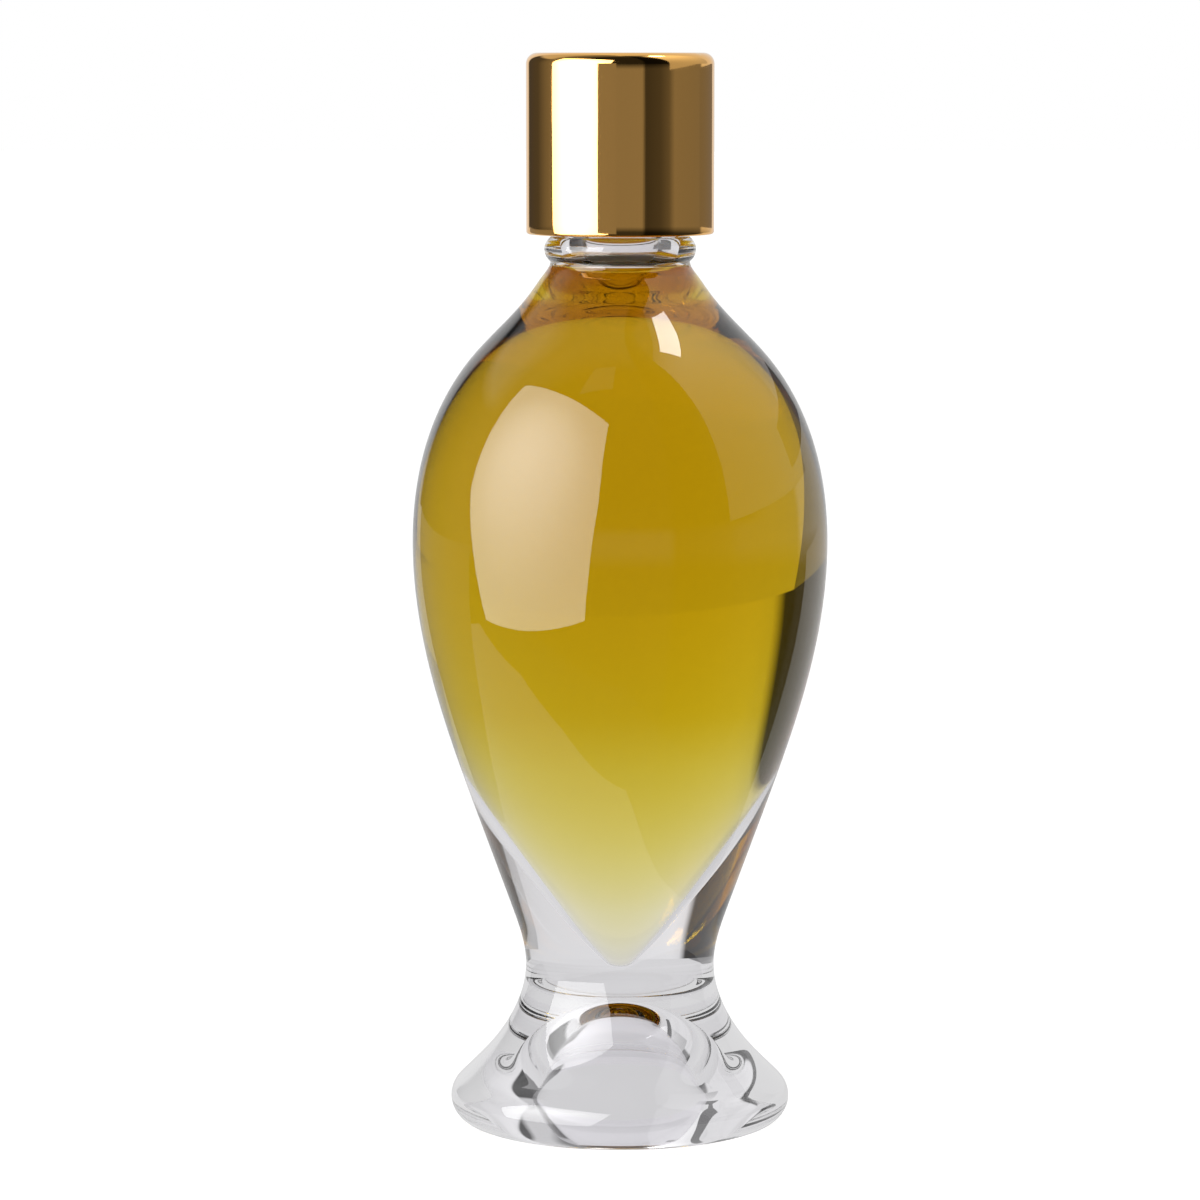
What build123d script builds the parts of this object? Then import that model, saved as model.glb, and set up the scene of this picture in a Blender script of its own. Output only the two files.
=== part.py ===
from build123d import *
import os
from math import cos, radians, sin

# Small perfume flacon, millimetres. +Z is up and the origin is the centre of the plane
# that the foot stands on. The flacon is a body of revolution about Z, apart from its
# screw threads and the grip ribs inside its cap.

# ---- glass foot ----
foot_radius = 10.05          # widest point of the foot
foot_edge = 1.5              # radius of the rounded rim of the foot
foot_edge_turn = 45.0        # degrees above level where the rim runs into the flare
punt_outline = [             # deep bell-shaped push-up under the foot, (radius, height)
    (0, 6.95),
    (1.3, 6.55),
    (2.7, 5.2),
    (3.9, 3.2),
    (4.6, 1.5),
    (5.3, 0.4),
    (6.2, 0),
]

# ---- glass body: the outline from the flare of the foot to the bead, (radius, height) ----
stem_radius = 5.58
stem_height = 9.3
belly_radius = 12.22
belly_height = 34.4
body_outline = [
    (7.75, 4.45),
    (6.35, 6.5),
    (stem_radius, stem_height),
    (6.42, 12.9),
    (8.55, 18.7),
    (11.05, 26.3),
    (belly_radius, belly_height),
    (11.3, 40.7),
    (8.75, 45.4),
    (5.28, 49.2),
    (4.49, 50.3),
]
shoulder_lean = 85.0         # degrees above level at which the shoulder meets the bead

# ---- glass bead and neck finish ----
bead_radius = 4.45
bead_bottom = 51.05
bead_top = 52.5
bead_root = 4.08             # where the shoulder runs in under the bead
neck_radius = 3.55           # root of the thread
neck_top = 60.4              # sealing rim
neck_rim_edge = 0.3
bore_radius = 2.2

# ---- cavity: a cone at the bottom, then a wall of nearly even thickness ----
cavity_tip = 9.8
cavity_tip_radius = 0.6
cavity_half_angle = 28.5
cavity_cone_length = 10.5    # along the slope, from the rounded tip
cavity_outline = [
    (8.35, 25.1),
    (9.8, 29.0),
    (10.7, 34.6),
    (10.1, 40.3),
    (7.8, 44.9),
    (4.5, 48.8),
]
cavity_neck = 52.3           # height at which the bore begins
fill_level = 50.6

# ---- thread, right-handed, 14 turns to the inch ----
thread_pitch = 25.4 / 14
glass_thread_start = 55.6
glass_thread_turns = 1.9
glass_crest = 4.1
glass_ridge = (1.1, 0.5)     # width at the root and at the crest
insert_thread_turns = 1.75
insert_crest = 3.7
insert_ridge = (0.9, 0.4)
ridge_bite = 0.15            # how far a ridge is sunk into the wall that carries it

# ---- drip plug in the neck ----
plug_flange_radius = 3.2
plug_flange = 0.5
plug_length = 4.6
plug_wall = 0.55
plug_top_wall = 0.8
plug_hole_radius = 0.6
plug_lip = 0.05              # how far the two sealing lips stand proud of the stem
plug_lip_height = 0.6
plug_lip_levels = (0.5, 2.2)  # undersides of the lips above the end of the stem
plug_lip_root = 0.1          # how deep the lips are rooted short of the stem's hollow

# ---- cap ----
cap_radius = 5.5
cap_bottom = 52.65
cap_top = 63.2
cap_top_edge = 0.65
shell_wall = 0.35
curl_reach = 0.55            # how far the bottom edge is turned in
insert_gap = 0.02            # glue line between the shell and the ribs
insert_rib = 0.2             # rib height
insert_rib_width = 0.5
insert_rib_count = 24
insert_rib_start = 0.3       # clearance of the ribs above the bottom of the insert
insert_rib_stop = 0.7        # clearance of the ribs under its top
insert_bore = 4.25
insert_chamfer = 0.2
liner_radius = 4.15
liner_thickness = 0.85
liner_edge = 0.08
retainer_reach = 0.2         # bead that keeps the liner in the insert
retainer_height = 0.4
retainer_drop = 0.12         # clearance between the liner and its bead
liner_play = 0.05            # clearance between the liner and the top of the insert

shell_bore = cap_radius - shell_wall
shell_ceiling = cap_top - shell_wall
insert_bottom = cap_bottom + shell_wall
insert_radius = shell_bore - insert_gap - insert_rib
plug_top = neck_top + plug_flange
liner_top = plug_top + liner_thickness


def at(radius, height):
    """A point of an outline in the XZ plane."""
    return (radius, 0, height)


def path(*corners):
    """Straight runs through (radius, height) corners."""
    return Polyline([at(r, z) for r, z in corners])


def turned(*edges):
    """The solid of revolution of a closed outline about Z."""
    return revolve(make_face(list(edges)), Axis.Z)


def ring(inner, outer, bottom, top):
    """A plain ring, or a disc when its inner radius is zero."""
    return turned(path((inner, bottom), (outer, bottom), (outer, top), (inner, top), (inner, bottom)))


def ridge(start, turns, wall, crest, widths):
    """A trapezoidal screw ridge that stands from the wall radius to the crest radius."""
    bite = -ridge_bite if crest > wall else ridge_bite
    helix = Helix(thread_pitch, thread_pitch * turns, wall, center=(0, 0, start))
    root, tip = widths[0] / 2, widths[1] / 2
    reach = crest - wall
    section = Polyline(
        [(bite, -root), (0, -root), (reach, -tip), (reach, tip), (0, root), (bite, root), (bite, -root)]
    )
    across = Plane(origin=helix @ 0, x_dir=(1, 0, 0), z_dir=helix % 0)
    return sweep(across * make_face(section), path=helix, is_frenet=True)


def bend(centre, radius, first, last):
    """An arc about a centre, between two angles in degrees above level."""
    r, z = centre
    turns = [radians(angle) for angle in (first, (first + last) / 2, last)]
    return ThreePointArc(*[at(r + radius * cos(turn), z + radius * sin(turn)) for turn in turns])


def cavity_walls():
    """The open line of the cavity's wall from its tip on the axis to the start of the bore."""
    slope = radians(cavity_half_angle)
    tip = bend((0, cavity_tip + cavity_tip_radius), cavity_tip_radius, -90, -cavity_half_angle)
    cone_way = Vector(sin(slope), 0, cos(slope))
    cone_end = tip @ 1 + cone_way * cavity_cone_length
    wall = [at(r, z) for r, z in cavity_outline]
    return [
        tip,
        Line(tip @ 1, cone_end),
        Spline([cone_end] + wall + [at(bore_radius, cavity_neck)], tangents=[cone_way, (0, 0, 1)]),
    ]


def foot_walls():
    """The underside and the rim of the foot, from the axis to the start of the flare."""
    outwards = (1, 0, 0)
    punt = Spline([at(r, z) for r, z in punt_outline], tangents=[outwards, outwards])
    return [
        punt,
        Line(punt @ 1, at(foot_radius - foot_edge, 0)),
        bend((foot_radius - foot_edge, foot_edge), foot_edge, -90, foot_edge_turn),
    ]


def glass_bottle():
    """The moulded glass: foot, stem, body, bead, threaded neck and cavity in one piece."""
    foot = foot_walls()
    lean = radians(shoulder_lean)
    flank = Spline(
        [foot[-1] @ 1] + [at(r, z) for r, z in body_outline] + [at(bead_root, bead_bottom)],
        tangents=[foot[-1] % 1, (-cos(lean), 0, sin(lean))],
    )
    bead_middle = (bead_bottom + bead_top) / 2
    bead = ThreePointArc(at(bead_root, bead_bottom), at(bead_radius, bead_middle), at(bead_root, bead_top))
    neck = path(
        (bead_root, bead_top),
        (neck_radius, bead_top),
        (neck_radius, neck_top - neck_rim_edge),
        (neck_radius - neck_rim_edge, neck_top),
        (bore_radius, neck_top),
        (bore_radius, cavity_neck),
    )
    axis = Line(at(0, cavity_tip), foot[0] @ 0)
    blank = turned(*foot, flank, bead, neck, *cavity_walls(), axis)
    return blank + ridge(glass_thread_start, glass_thread_turns, neck_radius, glass_crest, glass_ridge)


def perfume():
    """The liquid, face to face with the cavity up to the fill level."""
    well = turned(*cavity_walls(), path((bore_radius, cavity_neck), (0, cavity_neck), (0, cavity_tip)))
    return well & ring(0, belly_radius, 0, fill_level)


def orifice_reducer():
    """Soft plastic drip plug: a flange on the rim, a stem pressed in the bore, a small hole."""
    bottom = neck_top - plug_length
    hollow = bore_radius - plug_wall
    stem = turned(
        path(
            (plug_hole_radius, plug_top),
            (plug_flange_radius, plug_top),
            (plug_flange_radius, neck_top),
            (bore_radius, neck_top),
            (bore_radius, bottom),
            (hollow, bottom),
            (hollow, plug_top - plug_top_wall),
            (plug_hole_radius, plug_top - plug_top_wall),
            (plug_hole_radius, plug_top),
        )
    )
    root = hollow + plug_lip_root
    proud = bore_radius + plug_lip
    for rise in plug_lip_levels:
        level = bottom + rise
        stem += turned(
            path(
                (root, level),
                (bore_radius, level),
                (proud, level + plug_lip_height / 2),
                (bore_radius, level + plug_lip_height),
                (root, level + plug_lip_height),
                (root, level),
            )
        )
    return stem


def cap_liner():
    """Soft sealing disc that the cap presses on the drip plug."""
    return fillet(ring(0, liner_radius, plug_top, liner_top).edges(), liner_edge)


def cap_insert():
    """Moulded plastic cup inside the cap, with the thread, the liner bead and outer ribs."""
    bead_top_level = plug_top - retainer_drop
    bead_mid_level = bead_top_level - retainer_height / 2
    body = turned(
        path(
            (insert_bore, insert_bottom),
            (insert_radius, insert_bottom),
            (insert_radius, shell_ceiling - insert_chamfer),
            (insert_radius - insert_chamfer, shell_ceiling),
            (0, shell_ceiling),
            (0, liner_top + liner_play),
            (insert_bore, liner_top + liner_play),
            (insert_bore, bead_top_level),
            (insert_bore - retainer_reach, bead_mid_level),
            (insert_bore, bead_top_level - retainer_height),
            (insert_bore, insert_bottom),
        )
    )
    rib_bottom = insert_bottom + insert_rib_start
    rib_top = shell_ceiling - insert_rib_stop
    rib = Pos(insert_radius, 0, (rib_bottom + rib_top) / 2) * Box(
        2 * insert_rib, insert_rib_width, rib_top - rib_bottom
    )
    for number in range(insert_rib_count):
        body += Rot(0, 0, number * 360 / insert_rib_count) * rib
    start = glass_thread_start - thread_pitch / 2
    return body + ridge(start, insert_thread_turns, insert_bore, insert_crest, insert_ridge)


def cap_shell():
    """Drawn aluminium cap shell with a rounded top edge and its bottom edge turned in."""
    inner_edge = cap_top_edge - shell_wall
    top_centre = (cap_radius - cap_top_edge, cap_top - cap_top_edge)
    curl = shell_wall / 2
    curl_end = cap_radius - curl_reach
    return turned(
        path((0, shell_ceiling), (0, cap_top), (top_centre[0], cap_top)),
        bend(top_centre, cap_top_edge, 90, 0),
        path((cap_radius, top_centre[1]), (cap_radius, cap_bottom + curl)),
        bend((cap_radius - curl, cap_bottom + curl), curl, 0, -90),
        path(
            (cap_radius - curl, cap_bottom),
            (curl_end, cap_bottom),
            (curl_end, insert_bottom),
            (shell_bore, insert_bottom),
            (shell_bore, top_centre[1]),
        ),
        bend(top_centre, inner_edge, 0, 90),
        path((top_centre[0], shell_ceiling), (0, shell_ceiling)),
    )


nodes = {
    "glass_bottle": glass_bottle,
    "perfume": perfume,
    "orifice_reducer": orifice_reducer,
    "cap_liner": cap_liner,
    "cap_insert": cap_insert,
    "cap_shell": cap_shell,
}

os.makedirs("parts", exist_ok=True)
for name, build in nodes.items():
    solid = build()
    export_step(solid, f"parts/{name}.step")
    print(name, round(solid.volume, 1), "mm3")
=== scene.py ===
"""Perfume flacon: a spindle of clear glass on a flared foot, amber perfume, a gold screw cap.

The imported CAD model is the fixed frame. The glass, the perfume and the cap shell are
modelled again here, finer, and ride on their bodies. All sizes are millimetres until MM.
"""
import logging
import math
from collections.abc import Sequence
from dataclasses import dataclass, field
from enum import Enum

import bpy
import numpy as np
from mathutils import Matrix, Vector

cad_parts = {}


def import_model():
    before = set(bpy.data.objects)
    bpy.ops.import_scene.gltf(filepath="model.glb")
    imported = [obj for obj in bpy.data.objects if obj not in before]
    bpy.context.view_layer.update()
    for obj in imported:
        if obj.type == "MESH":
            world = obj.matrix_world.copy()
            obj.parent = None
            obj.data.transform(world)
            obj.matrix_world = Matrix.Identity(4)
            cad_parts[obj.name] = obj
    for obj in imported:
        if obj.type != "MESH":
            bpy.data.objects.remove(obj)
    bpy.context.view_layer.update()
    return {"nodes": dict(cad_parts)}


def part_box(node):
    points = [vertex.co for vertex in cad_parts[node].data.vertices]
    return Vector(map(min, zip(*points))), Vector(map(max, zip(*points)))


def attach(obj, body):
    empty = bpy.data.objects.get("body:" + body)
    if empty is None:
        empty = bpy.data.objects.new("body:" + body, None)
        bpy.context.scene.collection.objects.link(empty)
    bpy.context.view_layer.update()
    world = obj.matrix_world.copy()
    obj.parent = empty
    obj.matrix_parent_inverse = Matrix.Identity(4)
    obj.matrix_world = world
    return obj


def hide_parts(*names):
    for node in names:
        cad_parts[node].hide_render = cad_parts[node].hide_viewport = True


MM = 0.001
# Millimetres: sizes closer than NEAR count as equal, points closer than WELD are joined.
NEAR = 0.01
WELD = 0.0005
WHITE = (1.0, 1.0, 1.0, 1.0)
log = logging.getLogger("flacon")
Flat = tuple[float, float]
Spot = tuple[float, float, float]
Outline = list[Flat]
Marks = Sequence[Flat | tuple[float, str]]


class Touching(Enum):
    """What the skin of the perfume lies against."""

    GLASS = "glass"
    AIR = "air"


# ---------------------------------------------------------------- small helpers


def linear(code: str) -> tuple[float, float, float, float]:
    """An sRGB hex colour as linear RGBA.

    Args:
        code: six hex digits.

    Returns:
        The linear colour with alpha 1.
    """
    parts = [int(code[i : i + 2], 16) / 255 for i in (0, 2, 4)]
    curve = [c / 12.92 if c <= 0.04045 else ((c + 0.055) / 1.055) ** 2.4 for c in parts]
    return (*curve, 1.0)


def node(tree: bpy.types.NodeTree, kind: str, inputs: dict | None = None, **settings) -> bpy.types.Node:
    """Adds a node with its settings, values and links.

    Args:
        tree: the node tree.
        kind: the node's type name.
        inputs: socket name or number to a value, or to an output socket to link.
        settings: the node's own properties.

    Returns:
        The new node.
    """
    made = tree.nodes.new(kind)
    for name, value in settings.items():
        setattr(made, name, value)
    for name, value in (inputs or {}).items():
        if isinstance(value, bpy.types.NodeSocket):
            tree.links.new(value, made.inputs[name])
        else:
            made.inputs[name].default_value = value
    return made


def new_material(name: str) -> tuple[bpy.types.Material, bpy.types.NodeTree, bpy.types.Node]:
    """A material with an empty tree and its output node.

    Args:
        name: the finish's name.

    Returns:
        The material, its tree and the output node.
    """
    material = bpy.data.materials.new(name)
    material.use_nodes = True
    tree = material.node_tree
    tree.nodes.clear()
    return material, tree, tree.nodes.new("ShaderNodeOutputMaterial")


def fill_ramp(ramp: bpy.types.Node, marks: Marks, low: float, high: float) -> None:
    """Fills a colour ramp.

    Args:
        ramp: the colour ramp node.
        marks: where each stop stands, rising from low to high, and its grey level or hex colour.
        low: the value at the ramp's start.
        high: the value at its end.
    """
    stops = ramp.color_ramp.elements
    while len(stops) < len(marks):
        stops.new(1.0)
    for stop, (mark, shade) in zip(stops, marks):
        stop.position = (mark - low) / (high - low)
        stop.color = linear(shade) if isinstance(shade, str) else (shade, shade, shade, 1.0)


def deselect() -> None:
    """Leaves nothing selected."""
    bpy.ops.object.select_all(action="DESELECT")


def arc(centre: Flat, radius: float, first: float, last: float, step: float = 9.0) -> Outline:
    """Points along an arc of an outline.

    Args:
        centre: (radius, height) of the arc's centre.
        radius: its radius.
        first: the angle it starts at, degrees above level.
        last: the angle it ends at.
        step: the widest step between two points, degrees.

    Returns:
        The points, both ends among them.
    """
    count = max(2, math.ceil(abs(last - first) / step))
    turns = [math.radians(first + (last - first) * i / count) for i in range(count + 1)]
    return [(centre[0] + radius * math.cos(t), centre[1] + radius * math.sin(t)) for t in turns]


def run(start: Flat, end: Flat, step: float) -> Outline:
    """Points along a straight run, without its first.

    Args:
        start: where it starts.
        end: where it ends.
        step: the widest gap between points.

    Returns:
        The points after the first.
    """
    count = max(1, math.ceil(math.dist(start, end) / step))
    return [
        (start[0] + (end[0] - start[0]) * i / count, start[1] + (end[1] - start[1]) * i / count)
        for i in range(1, count + 1)
    ]


def sweep_through(knots: Outline, start: Flat, end: Flat, step: float) -> Outline:
    """A curve of even bend through all its knots, clamped to a direction at both ends.

    Args:
        knots: the points that it passes through.
        start: its direction at the first knot.
        end: its direction at the last.
        step: the gap between the points given back.

    Returns:
        Points along the curve, without its first knot.
    """
    points = np.array(knots, float)
    gaps = np.linalg.norm(np.diff(points, axis=0), axis=1)
    size = len(points)
    matrix = np.zeros((size, size))
    right = np.zeros((size, 2))
    matrix[0, 0] = matrix[-1, -1] = 1.0
    right[0] = np.array(start) / np.hypot(*start)
    right[-1] = np.array(end) / np.hypot(*end)
    for i in range(1, size - 1):
        before, after = gaps[i - 1], gaps[i]
        matrix[i, i - 1 : i + 2] = after, 2 * (before + after), before
        slope = (points[i] - points[i - 1]) * after / before + (points[i + 1] - points[i]) * before / after
        right[i] = 3 * slope
    tangents = np.linalg.solve(matrix, right)
    made: Outline = []
    for i, gap in enumerate(gaps):
        count = max(2, math.ceil(gap / step))
        for j in range(1, count + 1):
            t = j / count
            spot = (
                (2 * t**3 - 3 * t**2 + 1) * points[i]
                + (t**3 - 2 * t**2 + t) * gap * tangents[i]
                + (3 * t**2 - 2 * t**3) * points[i + 1]
                + (t**3 - t**2) * gap * tangents[i + 1]
            )
            made.append((float(spot[0]), float(spot[1])))
    return made


def spun(name: str, outline: Outline, steps: int) -> bpy.types.Object:
    """Draws an outline in the XZ plane and spins it round Z into a closed skin.

    Args:
        name: the piece's name.
        outline: (radius, height) points in millimetres, both ends on the axis or joined.
        steps: how many steps make the round.

    Returns:
        The piece, smooth shaded, its faces outwards, at the origin.
    """
    deselect()
    bpy.ops.curve.primitive_nurbs_path_add(location=(0, 0, 0))
    piece = bpy.context.object
    piece.name = name
    curve = piece.data
    curve.splines.clear()
    line = curve.splines.new("POLY")
    line.points.add(len(outline) - 1)
    for point, (radius, height) in zip(line.points, outline):
        point.co = (radius * MM, 0, height * MM, 1)
    bpy.ops.object.convert(target="MESH")
    piece = bpy.context.object
    piece.data.name = name
    bpy.ops.object.mode_set(mode="EDIT")
    bpy.ops.mesh.select_all(action="SELECT")
    bpy.ops.mesh.spin(steps=steps, angle=2 * math.pi, center=(0, 0, 0), axis=(0, 0, 1))
    bpy.ops.mesh.select_all(action="SELECT")
    bpy.ops.mesh.remove_doubles(threshold=WELD * MM)
    bpy.ops.mesh.normals_make_consistent(inside=False)
    bpy.ops.object.mode_set(mode="OBJECT")
    bpy.ops.object.shade_smooth()
    return piece


# ---------------------------------------------------------------- finishes


@dataclass(frozen=True)
class MouldedFlintGlass:
    """Soda-lime flint glass, blown in a mould and fire polished.

    To the eye: colourless with a trace of lilac, perfectly glossy, its outer skin faintly
    uneven from the mould, and dull only on the ring that it stands on.
    """

    tint: str = "F7F6F9"
    index: float = 1.5
    ripple_mm: float = 5.0
    ripple_depth_mm: float = 0.012
    scuff_mm: float = 0.35
    scuffed_up_to_mm: float = 0.06
    scuff_roughness: float = 0.3

    def make(self) -> bpy.types.Material:
        """Returns the glass as seen against air."""
        material, tree, out = new_material("moulded_flint_glass")
        place = node(tree, "ShaderNodeTexCoord").outputs["Object"]
        ripple = node(tree, "ShaderNodeTexNoise", {
            "Vector": place, "Scale": 1 / (self.ripple_mm * MM), "Detail": 1.0, "Roughness": 0.3,
        })
        uneven = node(tree, "ShaderNodeBump", {
            "Height": ripple.outputs["Fac"], "Strength": 1.0, "Distance": self.ripple_depth_mm * MM,
        })
        height = node(tree, "ShaderNodeSeparateXYZ", {0: place}).outputs["Z"]
        low = node(tree, "ShaderNodeMapRange", {
            "Value": height, "From Min": self.scuffed_up_to_mm * MM, "From Max": 0.0,
        })
        rubs = node(tree, "ShaderNodeTexNoise", {
            "Vector": place, "Scale": 1 / (self.scuff_mm * MM), "Detail": 4.0,
        })
        dull = node(tree, "ShaderNodeMath", {0: low.outputs[0], 1: rubs.outputs["Fac"]}, operation="MULTIPLY")
        rough = node(tree, "ShaderNodeMath", {
            0: dull.outputs[0], 1: self.scuff_roughness,
        }, operation="MULTIPLY")
        skin = node(tree, "ShaderNodeBsdfPrincipled", {
            "Base Color": linear(self.tint),
            "Roughness": rough.outputs[0],
            "IOR": self.index,
            "Transmission Weight": 1.0,
            "Normal": uneven.outputs["Normal"],
        })
        tree.links.new(skin.outputs[0], out.inputs["Surface"])
        return material

    def wetted(self) -> bpy.types.Material:
        """Returns the cavity wall where perfume touches it: the perfume's own skin does the bending."""
        material, tree, out = new_material("flint_glass_under_perfume")
        skin = node(tree, "ShaderNodeBsdfPrincipled", {
            "Base Color": WHITE,
            "Roughness": 0.0,
            "IOR": 1.0,
            "Transmission Weight": 1.0,
        })
        tree.links.new(skin.outputs[0], out.inputs["Surface"])
        return material


@dataclass(frozen=True)
class AmberPerfume:
    """Aged perfume in alcohol.

    To the eye: perfectly clear, straw yellow where it is shallow and deep amber where one
    looks through the whole body of it.
    """

    index: float = 1.36
    glass_index: float = MouldedFlintGlass.index
    loss_per_metre: tuple[float, float, float] = (12.0, 25.0, 165.0)
    # The tint that its skin adds by height: it is palest at the tip of the cavity.
    aged: tuple[tuple[float, str], ...] = (
        (14.0, "FFFFFF"), (18.0, "FBF7DC"), (22.5, "F6EDB8"),
        (26.0, "EFDD66"), (36.0, "ECD35C"), (46.0, "EACB58"),
    )
    swirl_mm: float = 9.0
    swirl_reach_mm: float = 1.2

    def index_against(self, touching: Touching) -> float:
        """Returns how much its skin bends light against air, or against the glass round it."""
        return self.index if touching is Touching.AIR else self.index / self.glass_index

    def make(self) -> bpy.types.Material:
        """Returns the liquid. Its bending index is a face attribute: against glass or against air."""
        material, tree, out = new_material("amber_perfume_in_alcohol")
        against = node(tree, "ShaderNodeAttribute", attribute_name=Perfume.INDEX)
        place = node(tree, "ShaderNodeTexCoord").outputs["Object"]
        height = node(tree, "ShaderNodeSeparateXYZ", {0: place}).outputs["Z"]
        swirl = node(tree, "ShaderNodeTexNoise", {
            "Vector": place, "Scale": 1 / (self.swirl_mm * MM), "Detail": 2.0, "Distortion": 0.6,
        })
        level = node(tree, "ShaderNodeMath", {
            0: swirl.outputs["Fac"], 1: self.swirl_reach_mm * MM, 2: height,
        }, operation="MULTIPLY_ADD")
        low, high = self.aged[0][0], self.aged[-1][0]
        share = node(tree, "ShaderNodeMapRange", {
            "Value": level.outputs[0], "From Min": low * MM, "From Max": high * MM,
        })
        strength = node(tree, "ShaderNodeValToRGB", {0: share.outputs[0]})
        fill_ramp(strength, self.aged, low, high)
        skin = node(tree, "ShaderNodeBsdfPrincipled", {
            "Base Color": strength.outputs["Color"],
            "Roughness": 0.0,
            "IOR": against.outputs["Fac"],
            "Transmission Weight": 1.0,
        })
        density = max(self.loss_per_metre)
        clear = tuple(1 - loss / density for loss in self.loss_per_metre)
        depth = node(tree, "ShaderNodeVolumeAbsorption", {"Color": (*clear, 1), "Density": density})
        tree.links.new(skin.outputs[0], out.inputs["Surface"])
        tree.links.new(depth.outputs[0], out.inputs["Volume"])
        return material


@dataclass(frozen=True)
class GoldAnodisedAluminium:
    """Aluminium sheet, drawn, polished and gold anodised.

    To the eye: a warm mirror with a trace of the drawing tool's vertical lines, a slight
    unevenness of the sheet, and paler gold in patches on its rounded edges: partly rubbed wear, partly a
    painted highlight.
    """

    tint: str = "FAC06C"
    # The paler gold of the rounded edges: rubbed wear and a painted highlight.
    wear_and_highlight_tint: str = "F3D9A6"
    roughness: float = 0.045
    roughness_swing: Flat = (0.6, 1.8)
    line_mm: float = 0.05
    line_length_mm: float = 6.0
    line_depth_mm: float = 0.004
    line_strength: float = 0.12
    wave_mm: float = 4.0
    wave_depth_mm: float = 0.006
    noise_span: Flat = (0.3, 0.7)
    wear_and_highlight_span: Flat = (0.52, 0.6)

    def make(self) -> bpy.types.Material:
        """Returns the cap's outer finish."""
        material, tree, out = new_material("gold_anodised_drawn_aluminium")
        place = node(tree, "ShaderNodeTexCoord").outputs["Object"]
        drawn = node(tree, "ShaderNodeMapping", {
            "Vector": place, "Scale": (1 / self.line_mm, 1 / self.line_mm, 1 / self.line_length_mm),
        })
        lines = node(tree, "ShaderNodeTexNoise", {"Vector": drawn.outputs[0], "Scale": 1 / MM, "Detail": 2.0})
        waves = node(tree, "ShaderNodeTexNoise", {
            "Vector": place, "Scale": 1 / (self.wave_mm * MM), "Detail": 1.0,
        })
        rough = node(tree, "ShaderNodeMapRange", {
            "Value": lines.outputs["Fac"], "From Min": self.noise_span[0], "From Max": self.noise_span[1],
            "To Min": self.roughness * self.roughness_swing[0],
            "To Max": self.roughness * self.roughness_swing[1],
        })
        grain = node(tree, "ShaderNodeBump", {
            "Height": lines.outputs["Fac"], "Strength": self.line_strength,
            "Distance": self.line_depth_mm * MM,
        })
        sheet = node(tree, "ShaderNodeBump", {
            "Height": waves.outputs["Fac"], "Strength": 1.0, "Distance": self.wave_depth_mm * MM,
            "Normal": grain.outputs["Normal"],
        })
        # Paler gold in patches on the rounded edges, found from their pointiness: partly rubbed wear, partly
        # a painted highlight.
        edge = node(tree, "ShaderNodeNewGeometry").outputs["Pointiness"]
        wear_and_highlight_mask = node(tree, "ShaderNodeMapRange", {
            "Value": edge, "From Min": self.wear_and_highlight_span[0], "From Max": self.wear_and_highlight_span[1],
        })
        patchy_wear_and_highlight = node(tree, "ShaderNodeMath", {
            0: wear_and_highlight_mask.outputs[0], 1: waves.outputs["Fac"],
        }, operation="MULTIPLY")
        colour = node(tree, "ShaderNodeMix", {
            "Factor": patchy_wear_and_highlight.outputs[0], "A": linear(self.tint), "B": linear(self.wear_and_highlight_tint),
        }, data_type="RGBA")
        skin = node(tree, "ShaderNodeBsdfPrincipled", {
            "Base Color": colour.outputs["Result"],
            "Metallic": 1.0,
            "Roughness": rough.outputs[0],
            "Normal": sheet.outputs["Normal"],
        })
        tree.links.new(skin.outputs[0], out.inputs["Surface"])
        return material


@dataclass(frozen=True)
class MouldedPlastic:
    """A moulded polyolefin or its foam.

    To the eye: satin and waxy, light bleeding through it a little, faint flow marks where
    it filled the mould and a fine texture or foam cells on its skin.
    """

    name: str
    tint: str
    flow_tint: str
    roughness: float
    cell_mm: float
    cell_depth_mm: float
    flow_mm: float = 1.6
    roughness_swing: Flat = (0.85, 1.15)
    bleed: float = 0.15
    bleed_mm: float = 0.5

    def make(self) -> bpy.types.Material:
        """Returns the plastic."""
        material, tree, out = new_material(self.name)
        place = node(tree, "ShaderNodeTexCoord").outputs["Object"]
        flow = node(tree, "ShaderNodeTexNoise", {
            "Vector": place, "Scale": 1 / (self.flow_mm * MM), "Detail": 3.0, "Distortion": 1.2,
        })
        cells = node(tree, "ShaderNodeTexVoronoi", {"Vector": place, "Scale": 1 / (self.cell_mm * MM)})
        colour = node(tree, "ShaderNodeMix", {
            "Factor": flow.outputs["Fac"], "A": linear(self.tint), "B": linear(self.flow_tint),
        }, data_type="RGBA")
        rough = node(tree, "ShaderNodeMapRange", {
            "Value": flow.outputs["Fac"],
            "To Min": self.roughness * self.roughness_swing[0],
            "To Max": self.roughness * self.roughness_swing[1],
        })
        texture = node(tree, "ShaderNodeBump", {
            "Height": cells.outputs["Distance"], "Strength": 0.5, "Distance": self.cell_depth_mm * MM,
        })
        skin = node(tree, "ShaderNodeBsdfPrincipled", {
            "Base Color": colour.outputs["Result"],
            "Roughness": rough.outputs[0],
            "Subsurface Weight": self.bleed,
            "Subsurface Scale": self.bleed_mm * MM,
            "Normal": texture.outputs["Normal"],
        })
        tree.links.new(skin.outputs[0], out.inputs["Surface"])
        return material


# ---------------------------------------------------------------- the bottle


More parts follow.
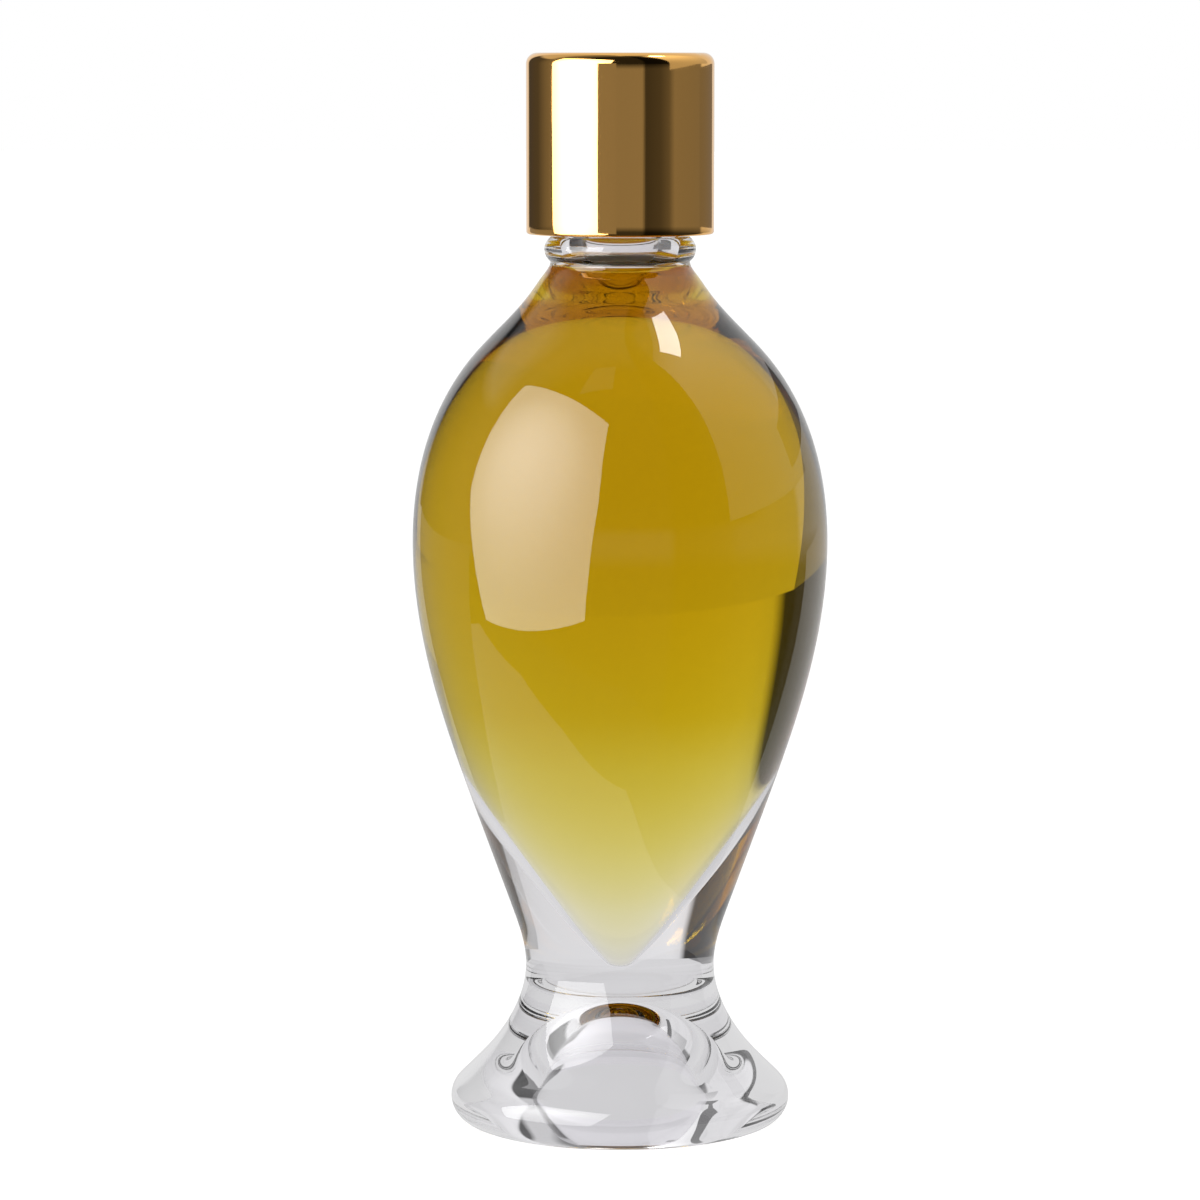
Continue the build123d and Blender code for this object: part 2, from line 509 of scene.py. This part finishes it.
@dataclass
class GlassBottle:
    """The moulded glass: foot, stem, body, bead, threaded neck and cavity."""

    foot_radius: float = 10.05
    foot_edge: float = 1.5
    foot_edge_turn: float = 45.0
    punt: Outline = field(default_factory=lambda: [
        (0, 6.95), (1.3, 6.55), (2.7, 5.2), (3.9, 3.2), (4.6, 1.5), (5.3, 0.4), (6.2, 0),
    ])
    flank: Outline = field(default_factory=lambda: [
        (7.75, 4.45), (6.35, 6.5), (5.58, 9.3), (6.42, 12.9), (8.55, 18.7), (11.05, 26.3),
        (12.22, 34.4), (11.3, 40.7), (8.75, 45.4), (5.28, 49.2), (4.49, 50.3),
    ])
    shoulder_lean: float = 85.0
    bead_radius: float = 4.45
    bead_bottom: float = 51.05
    bead_top: float = 52.5
    bead_root: float = 4.08
    neck_radius: float = 3.55
    neck_top: float = 60.4
    rim_edge: float = 0.3
    bore_radius: float = 2.2
    cavity_tip: float = 9.8
    cavity_tip_radius: float = 0.6
    cavity_half_angle: float = 28.5
    cavity_cone_length: float = 10.5
    cavity_knots: Outline = field(default_factory=lambda: [
        (8.35, 25.1), (9.8, 29.0), (10.7, 34.6), (10.1, 40.3), (7.8, 44.9), (4.5, 48.8),
    ])
    cavity_neck: float = 52.3
    fill_level: float = 50.6
    pitch: float = 25.4 / 14
    thread_start: float = 55.6
    thread_turns: float = 1.9
    thread_crest: float = 4.1
    thread_widths: Flat = (1.1, 0.5)
    thread_fades_per_turn: float = 12.0
    steps: int = 160
    mesh_step: float = 0.3
    rim_arc_step: float = 15.0
    tip_arc_step: float = 6.0
    bead_half_steps: int = 6

    def underside(self) -> Outline:
        """Returns the punt and the rim of the foot, from the axis to the flare."""
        centre = (self.foot_radius - self.foot_edge, self.foot_edge)
        made = [self.punt[0]] + sweep_through(self.punt, (1, 0), (1, 0), self.mesh_step / 2)
        made += run(made[-1], (centre[0], 0), self.mesh_step)
        return made + arc(centre, self.foot_edge, -90, self.foot_edge_turn)[1:]

    def outside(self) -> Outline:
        """Returns the whole outer outline, from the centre of the punt to the rim of the neck."""
        made = self.underside()
        turn, lean = math.radians(self.foot_edge_turn), math.radians(self.shoulder_lean)
        knots = [made[-1], *self.flank, (self.bead_root, self.bead_bottom)]
        made += sweep_through(
            knots, (-math.sin(turn), math.cos(turn)), (-math.cos(lean), math.sin(lean)), self.mesh_step
        )
        half = (self.bead_top - self.bead_bottom) / 2
        reach = self.bead_radius - self.bead_root
        bow = (half**2 + reach**2) / (2 * reach)
        swing = math.degrees(math.asin(half / bow))
        middle = (self.bead_radius - bow, self.bead_bottom + half)
        made += arc(middle, bow, -swing, swing, swing / self.bead_half_steps)[1:]
        rim = self.neck_top - self.rim_edge
        made += run(made[-1], (self.neck_radius, self.bead_top), self.mesh_step)
        made += run(made[-1], (self.neck_radius, rim), self.mesh_step / 2)
        corner = (self.neck_radius - self.rim_edge, rim)
        return made + arc(corner, self.rim_edge, 0, 90, self.rim_arc_step)[1:]

    def cavity(self) -> Outline:
        """Returns the cavity's wall, from its tip on the axis to the start of the bore."""
        slope = math.radians(self.cavity_half_angle)
        tip = arc(
            (0, self.cavity_tip + self.cavity_tip_radius), self.cavity_tip_radius,
            -90, -self.cavity_half_angle, self.tip_arc_step,
        )
        way = (math.sin(slope), math.cos(slope))
        end = tuple(tip[-1][i] + way[i] * self.cavity_cone_length for i in (0, 1))
        knots = [end, *self.cavity_knots, (self.bore_radius, self.cavity_neck)]
        return tip + run(tip[-1], end, self.mesh_step) + sweep_through(knots, way, (0, 1), self.mesh_step)

    def raise_thread(self, piece: bpy.types.Object) -> None:
        """Pushes the neck's wall out along a right-handed helix, fading at both ends.

        Args:
            piece: the glass.
        """
        root, crest = (width / 2 for width in self.thread_widths)
        height = self.thread_crest - self.neck_radius
        for vertex in piece.data.vertices:
            radius = math.hypot(vertex.co.x, vertex.co.y) / MM
            level = vertex.co.z / MM
            if abs(radius - self.neck_radius) > NEAR or level < self.bead_top + NEAR:
                continue
            share = math.atan2(vertex.co.y, vertex.co.x) / (2 * math.pi) % 1.0
            lap = round((level - self.thread_start) / self.pitch - share)
            turn = lap + share
            off = abs(level - self.thread_start - turn * self.pitch)
            gone_in = max(0.0, turn * self.thread_fades_per_turn + 1)
            left = max(0.0, (self.thread_turns - turn) * self.thread_fades_per_turn + 1)
            push = min(1.0, max(0.0, (root - off) / (root - crest))) * min(1.0, gone_in, left)
            grown = 1 + height * push / radius
            vertex.co.x *= grown
            vertex.co.y *= grown

    def build(self) -> bpy.types.Object:
        """Makes the glass piece, with the cavity wall below the fill level as its second material.

        Returns:
            The glass.
        """
        outline = self.outside()
        outline += run(outline[-1], (self.bore_radius, self.neck_top), self.mesh_step)
        outline += run(outline[-1], (self.bore_radius, self.cavity_neck), 2 * self.mesh_step)
        outline += self.cavity()[::-1][1:]
        piece = spun("bottle_glass", outline, self.steps)
        self.raise_thread(piece)
        finish = MouldedFlintGlass()
        piece.data.materials.append(finish.make())
        piece.data.materials.append(finish.wetted())
        wall = np.array(self.cavity())
        for face in piece.data.polygons:
            spot = face.center / MM
            inner = np.interp(spot.z, wall[:, 1], wall[:, 0])
            under_perfume = self.cavity_tip - NEAR < spot.z < self.fill_level
            if under_perfume and math.hypot(spot.x, spot.y) < inner + 2 * NEAR:
                face.material_index = 1
        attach(piece, "bottle")
        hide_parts("glass_bottle")
        log.info("%s: %d faces", piece.name, len(piece.data.polygons))
        return piece


@dataclass
class Perfume:
    """The liquid in the cavity, with a bowl-shaped surface where it climbs the glass."""

    INDEX = "bending_index"
    glass: GlassBottle
    into_glass: float = 0.01
    climb: float = 0.55
    climb_power: int = 4
    bowl_steps: int = 16
    clear_of_edge: float = 0.05

    def build(self) -> bpy.types.Object:
        """Makes the liquid.

        Returns:
            The liquid.
        """
        wall, top = self.glass.cavity(), self.glass.fill_level
        levels = np.array(wall)
        edge = float(np.interp(top, levels[:, 1], levels[:, 0]))
        side = [
            (radius + self.into_glass if radius > 0 else 0.0, height)
            for radius, height in wall
            if height < top - self.clear_of_edge
        ]
        side[0] = (0.0, side[0][1] - self.into_glass)
        side.append((edge + self.into_glass, top))
        bowl = [
            (edge * share, top - self.climb * (1 - share**self.climb_power))
            for share in np.linspace(1, 0, self.bowl_steps + 1)
        ]
        piece = spun("perfume_fill", side + bowl, self.glass.steps)
        finish = AmberPerfume()
        piece.data.materials.append(finish.make())
        index = piece.data.attributes.new(self.INDEX, "FLOAT", "FACE")
        lowest = top - self.climb - self.clear_of_edge
        for face in piece.data.polygons:
            spot = face.center / MM
            on_top = spot.z > lowest and math.hypot(spot.x, spot.y) < edge - NEAR and face.normal.z > 0
            index.data[face.index].value = finish.index_against(Touching.AIR if on_top else Touching.GLASS)
        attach(piece, "bottle")
        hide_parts("perfume")
        log.info("%s: %d faces", piece.name, len(piece.data.polygons))
        return piece


# ---------------------------------------------------------------- the cap


@dataclass
class Cap:
    """The screw cap: a drawn metal shell over a threaded plastic insert with a foam liner."""

    wall: float = 0.35
    top_edge: float = 0.65
    curl_reach: float = 0.55
    steps: int = 192
    mesh_step: float = 0.5
    edge_step: float = 0.2
    arc_step: float = 15.0
    crisp_edge_degrees: float = 35.0

    def build(self) -> bpy.types.Object:
        """Makes the shell round the insert, its lower edge curled in.

        Returns:
            The shell.
        """
        low, high = (Vector(corner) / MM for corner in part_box("cap_shell"))
        radius, bottom, top = high.x, low.z, high.z
        curl = self.wall / 2
        centre = (radius - self.top_edge, top - self.top_edge)
        ceiling, bore = top - self.wall, radius - self.wall
        outline = [(0.0, top)] + run((0, top), (centre[0], top), self.mesh_step)
        outline += arc(centre, self.top_edge, 90, 0)[1:]
        outline += run(outline[-1], (radius, bottom + curl), self.mesh_step)
        outline += arc((radius - curl, bottom + curl), curl, 0, -90, self.arc_step)[1:]
        lip = radius - self.curl_reach
        for corner in ((lip, bottom), (lip, bottom + self.wall), (bore, bottom + self.wall)):
            outline += run(outline[-1], corner, self.edge_step)
        outline += run(outline[-1], (bore, centre[1]), self.mesh_step)
        outline += arc(centre, self.top_edge - self.wall, 0, 90, self.arc_step)[1:]
        outline += run(outline[-1], (0, ceiling), self.mesh_step)
        piece = spun("cap_gold_shell", outline, self.steps)
        deselect()
        piece.select_set(True)
        bpy.context.view_layer.objects.active = piece
        bpy.ops.object.shade_smooth_by_angle(angle=math.radians(self.crisp_edge_degrees))
        piece.data.materials.append(GoldAnodisedAluminium().make())
        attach(piece, "cap")
        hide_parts("cap_shell")
        log.info("%s: %d faces", piece.name, len(piece.data.polygons))
        return piece

    def dress_inside(self, nodes: dict[str, bpy.types.Object]) -> None:
        """Gives the insert, the liner and the drip plug their plastics.

        Args:
            nodes: the CAD nodes by name.
        """
        finishes = {
            "cap_insert": MouldedPlastic(
                "moulded_polypropylene", "EDEBE4", "E2DFD5",
                roughness=0.42, cell_mm=0.12, cell_depth_mm=0.004,
            ),
            "cap_liner": MouldedPlastic(
                "expanded_polyethylene_foam", "F3F1EC", "E9E6DF",
                roughness=0.8, cell_mm=0.18, cell_depth_mm=0.03,
            ),
            "orifice_reducer": MouldedPlastic(
                "moulded_natural_polyethylene", "E6E7E3", "DADCD6",
                roughness=0.36, cell_mm=0.1, cell_depth_mm=0.003,
            ),
        }
        for name, finish in finishes.items():
            data = nodes[name].data
            data.materials.clear()
            data.materials.append(finish.make())
            log.info("%s: %s", name, finish.name)


# ---------------------------------------------------------------- the studio


@dataclass
class Card:
    """A flat sheet, lit or dim, that shows only in the bottle: as a reflection and through the glass."""

    name: str
    corners: list[Spot]
    glow: float
    middle: Spot | None = None
    reach: float = 60.0
    dim: float = 1.0
    through_glass: bool = True

    def build(self) -> bpy.types.Object:
        """Returns the card, which fades from its middle to dim times its glow at its reach."""
        deselect()
        bpy.ops.mesh.primitive_circle_add(vertices=len(self.corners), radius=MM, fill_type="NGON")
        card = bpy.context.object
        card.name = self.name
        for vertex, corner in zip(card.data.vertices, self.corners):
            vertex.co = Vector(corner) * MM
        material, tree, out = new_material(self.name)
        light = node(tree, "ShaderNodeEmission", {"Color": WHITE, "Strength": self.glow})
        if self.middle:
            place = node(tree, "ShaderNodeTexCoord").outputs["Object"]
            gap = node(tree, "ShaderNodeVectorMath", {
                0: place, 1: tuple(c * MM for c in self.middle),
            }, operation="DISTANCE")
            fade = node(tree, "ShaderNodeMapRange", {
                "Value": gap.outputs["Value"], "From Max": self.reach * MM,
                "To Min": self.glow, "To Max": self.glow * self.dim,
            }, interpolation_type="SMOOTHSTEP")
            tree.links.new(fade.outputs[0], light.inputs["Strength"])
        tree.links.new(light.outputs[0], out.inputs["Surface"])
        card.data.materials.append(material)
        card.visible_camera = False
        card.visible_diffuse = False
        card.visible_shadow = False
        card.visible_transmission = self.through_glass
        log.info("card %s", self.name)
        return card


@dataclass
class Studio:
    """The floor, the lights and the camera."""

    camera_distance: float = 290.0
    camera_height: float = 63.0
    aim_height: float = 31.1
    aim_side: float = -1.18
    lens: float = 148.35
    sensor: float = 36.0
    floor_size: float = 6000.0
    floor_drop: float = 0.02
    floor_tint: str = "F0F0F0"
    floor_glow: float = 0.85
    # The room's light by the direction it is seen in, degrees from the camera towards the right.
    walls: list[Flat] = field(default_factory=lambda: [
        (-180, 0.8), (-158, 0.86), (-153, 0.8), (-149, 0.06), (-120, 0.08), (-104, 0.17),
        (-96, 0.2), (-28, 0.26), (27, 0.27), (31, 0.05), (50, 0.07), (62, 0.12),
        (70, 0.24), (115, 0.22), (119, 0.75), (180, 0.8),
    ])
    # The share of it that is left below the horizon and overhead in front, and the light from above.
    below: float = 0.15
    overhead: float = 0.08
    skylight: float = 0.6
    # Where each of them sets in, from -1 straight down to 1 straight up, or level and straight ahead.
    below_span: Flat = (-0.13, -0.05)
    overhead_span: Flat = (0.03, 0.08)
    skylight_span: Flat = (0.45, 0.55)
    side_span: float = 0.3
    bounces: int = 24
    mirror_bounces: int = 12

    def camera(self) -> None:
        """Puts the camera level with the top of the cap."""
        data = bpy.data.cameras.new("camera")
        data.lens = self.lens
        data.sensor_width = self.sensor
        data.clip_start = 0.01
        eye = bpy.data.objects.new("camera", data)
        bpy.context.scene.collection.objects.link(eye)
        place = Vector((self.aim_side, -self.camera_distance, self.camera_height)) * MM
        aim = Vector((self.aim_side, 0, self.aim_height)) * MM
        eye.location = place
        eye.rotation_euler = (aim - place).to_track_quat("-Z", "Y").to_euler()
        bpy.context.scene.camera = eye

    def floor(self) -> None:
        """Lays the pale floor, lit a little from below so that it meets the white wall unseen."""
        deselect()
        bpy.ops.mesh.primitive_plane_add(size=self.floor_size * MM)
        floor = bpy.context.object
        floor.name = "floor"
        floor.data.transform(Matrix.Translation((0, 0, -self.floor_drop * MM)))
        material, tree, out = new_material("white_floor_board")
        skin = node(tree, "ShaderNodeBsdfDiffuse", {"Color": linear(self.floor_tint)})
        glow = node(tree, "ShaderNodeEmission", {"Color": WHITE, "Strength": self.floor_glow})
        both = node(tree, "ShaderNodeAddShader", {0: skin.outputs[0], 1: glow.outputs[0]})
        tree.links.new(both.outputs[0], out.inputs["Surface"])
        floor.data.materials.append(material)
        floor.visible_glossy = False
        floor.visible_transmission = False
        floor.visible_shadow = False

    def cards(self) -> None:
        """Sets up what the glass and the gold show."""
        # White paper on the table, painted darker round a spot behind and right of the bottle: a painted
        # shadow of the bottle. The bare table, in shade, shows in its notch on the left.
        Card("paper", [
            (-105, -11, 0), (-53, -32, 0), (-25, -33, 0), (2, -29, 0), (16, -14, 0),
            (34, 12, 0), (300, 200, 0), (500, 900, 0), (-600, 900, 0), (-64, 70, 0),
            (-41, 41, 0), (-35, 9, 0), (-60, 4, 0), (-108, 2, 0),
        ], glow=0.64, middle=(60, 20, 0), reach=110, dim=1.2).build()
        Card("shaded_table", [
            (-108, 2, 0), (-60, 4, 0), (-35, 9, 0), (-41, 41, 0), (-64, 70, 0), (-600, 900, 0), (-600, 0, 0),
        ], glow=0.27).build()
        # Two small flags level with the cap trim what the gold shows.
        Card("rear_flag", [
            (66, 24, 49.5), (37, 60, 49.5), (37, 60, 64), (66, 24, 64),
        ], glow=0.2).build()
        Card("front_flag", [
            (-5.6, -13.4, 51.5), (-1, -13.4, 51.5), (-1, -13.4, 64), (-5.6, -13.4, 64),
        ], glow=0.27).build()
        # The big light at the front left, which the body shows as a bright panel.
        Card("softbox", [
            (-32, -92, 0), (-21, -102, 58), (-16, -107, 139), (-122, -5, 167), (-129, 1, 58), (-106, -21, 0),
        ], glow=8.8, middle=(-75, -50, 80), reach=85, dim=0.5, through_glass=False).build()
        # A white wall on the right, and a lamp high up in front of it.
        Card("reflector", [
            (450, -235, 72), (450, 430, 92), (450, 430, 1700), (450, -235, 1700),
        ], glow=1.25, middle=(450, 100, 900), reach=900, dim=0.4).build()
        Card("lamp", [
            (138, -22, 455), (176, 6, 385), (174, 66, 385), (134, 46, 462),
        ], glow=12.0).build()

    def world(self) -> None:
        """White to the camera. Everything else sees the walls of the room."""
        world = bpy.data.worlds.new("studio_room")
        world.use_nodes = True
        tree = world.node_tree
        tree.nodes.clear()
        out = tree.nodes.new("ShaderNodeOutputWorld")
        way = node(tree, "ShaderNodeSeparateXYZ", {0: node(tree, "ShaderNodeTexCoord").outputs["Generated"]})
        ahead = node(tree, "ShaderNodeMath", {0: way.outputs["Y"], 1: -1.0}, operation="MULTIPLY")
        turn = node(tree, "ShaderNodeMath", {
            0: way.outputs["X"], 1: ahead.outputs[0],
        }, operation="ARCTAN2")
        share = node(tree, "ShaderNodeMapRange", {
            "Value": turn.outputs[0], "From Min": -math.pi, "From Max": math.pi,
        })
        ramp = node(tree, "ShaderNodeValToRGB", {0: share.outputs[0]})
        fill_ramp(ramp, self.walls, -180, 180)
        dip = node(tree, "ShaderNodeMapRange", {
            "Value": way.outputs["Z"], "From Min": self.below_span[0], "From Max": self.below_span[1],
            "To Min": self.below, "To Max": 1.0,
        })
        scaled = node(tree, "ShaderNodeMath", {
            0: ramp.outputs["Color"], 1: dip.outputs[0],
        }, operation="MULTIPLY")
        # The camera's side of the room is dark overhead, so the upper glass keeps its depth.
        front = node(tree, "ShaderNodeMapRange", {"Value": ahead.outputs[0], "From Max": self.side_span})
        rise = node(tree, "ShaderNodeMapRange", {
            "Value": way.outputs["Z"], "From Min": self.overhead_span[0], "From Max": self.overhead_span[1],
        })
        over = node(tree, "ShaderNodeMath", {0: front.outputs[0], 1: rise.outputs[0]}, operation="MULTIPLY")
        keep = node(tree, "ShaderNodeMapRange", {
            "Value": over.outputs[0], "To Min": 1.0, "To Max": self.overhead,
        })
        level = node(tree, "ShaderNodeMath", {0: scaled.outputs[0], 1: keep.outputs[0]}, operation="MULTIPLY")
        # A skylight behind the table keeps the foot pale.
        high = node(tree, "ShaderNodeMapRange", {
            "Value": way.outputs["Z"], "From Min": self.skylight_span[0], "From Max": self.skylight_span[1],
        })
        rear = node(tree, "ShaderNodeMapRange", {"Value": ahead.outputs[0], "From Max": -self.side_span})
        sky = node(tree, "ShaderNodeMath", {0: high.outputs[0], 1: rear.outputs[0]}, operation="MULTIPLY")
        glow = node(tree, "ShaderNodeMath", {0: sky.outputs[0], 1: self.skylight}, operation="MULTIPLY")
        light = node(tree, "ShaderNodeMath", {0: level.outputs[0], 1: glow.outputs[0]}, operation="MAXIMUM")
        room = node(tree, "ShaderNodeBackground", {"Color": WHITE, "Strength": light.outputs[0]})
        plain = node(tree, "ShaderNodeBackground", {"Color": WHITE, "Strength": 1.0})
        direct = node(tree, "ShaderNodeLightPath").outputs["Is Camera Ray"]
        mixed = node(tree, "ShaderNodeMixShader", {0: direct, 1: room.outputs[0], 2: plain.outputs[0]})
        tree.links.new(mixed.outputs[0], out.inputs["Surface"])
        bpy.context.scene.world = world

    def build(self) -> None:
        """Sets everything up."""
        self.camera()
        self.floor()
        self.cards()
        self.world()
        scene = bpy.context.scene
        scene.view_settings.view_transform = "Standard"
        scene.cycles.max_bounces = self.bounces
        scene.cycles.transmission_bounces = self.bounces
        scene.cycles.glossy_bounces = self.mirror_bounces


def main() -> None:
    """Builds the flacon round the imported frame, then the studio."""
    logging.basicConfig(level=logging.INFO, format="%(name)s: %(message)s")
    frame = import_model()
    Studio().build()
    glass = GlassBottle()
    glass.build()
    Perfume(glass).build()
    cap = Cap()
    cap.build()
    cap.dress_inside(frame["nodes"])


if __name__ == "__main__":
    main()
